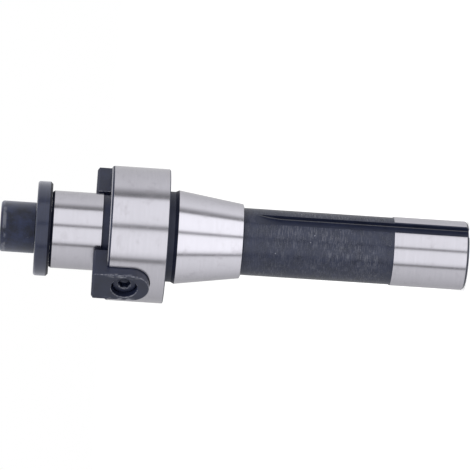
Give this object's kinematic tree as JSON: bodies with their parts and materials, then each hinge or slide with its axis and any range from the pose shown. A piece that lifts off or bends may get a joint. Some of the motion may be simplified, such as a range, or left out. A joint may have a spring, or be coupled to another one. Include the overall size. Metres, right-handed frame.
{
  "type": "shell mill arbor",
  "caption": "Shell mill arbor with a tapered R8 shank and drawbar thread, a flange with screwed-in drive keys, a plain pilot, and a socket head lock screw with a thick washer.",
  "frame": {"origin": "centre of the shank's end face, on the arbor's axis", "axes": "+Z along the axis from the shank's end to the lock screw's head, +X through a drive key, +Y through the keyway of the shank"},
  "size_m": [0.0526, 0.047, 0.1631],
  "materials": {
    "arbor_steel": "ground bright on the pilot, flange, taper and shank end, black oxide between them",
    "key_steel": "black oxide",
    "key_screw_steel": "black oxide",
    "washer_steel": "black oxide",
    "lock_screw_steel": "black oxide"
  },
  "bodies": {
    "arbor": {"arbor_body": "arbor_steel", "drive_key_1": "key_steel", "drive_key_2": "key_steel", "key_screw_1": "key_screw_steel", "key_screw_2": "key_screw_steel"},
    "washer": {"clamp_washer": "washer_steel"},
    "lock_screw": {"lock_screw": "lock_screw_steel"}
  },
  "joints": [
    {"name": "clamp_washer_lift", "type": "slide", "parent": "arbor", "child": "washer", "axis": [0, 0, 1], "range_m": [0, 0.0245]},
    {"name": "lock_screw_turn", "type": "hinge", "parent": "washer", "child": "lock_screw", "pos_m": [0, 0, 0.1511], "axis": [0, 0, 1], "range_deg": [0, 5040]}
  ],
  "couplings": [
    {"joint": "lock_screw_turn", "follows": "clamp_washer_lift", "rad_per_m": 3590.4}
  ]
}
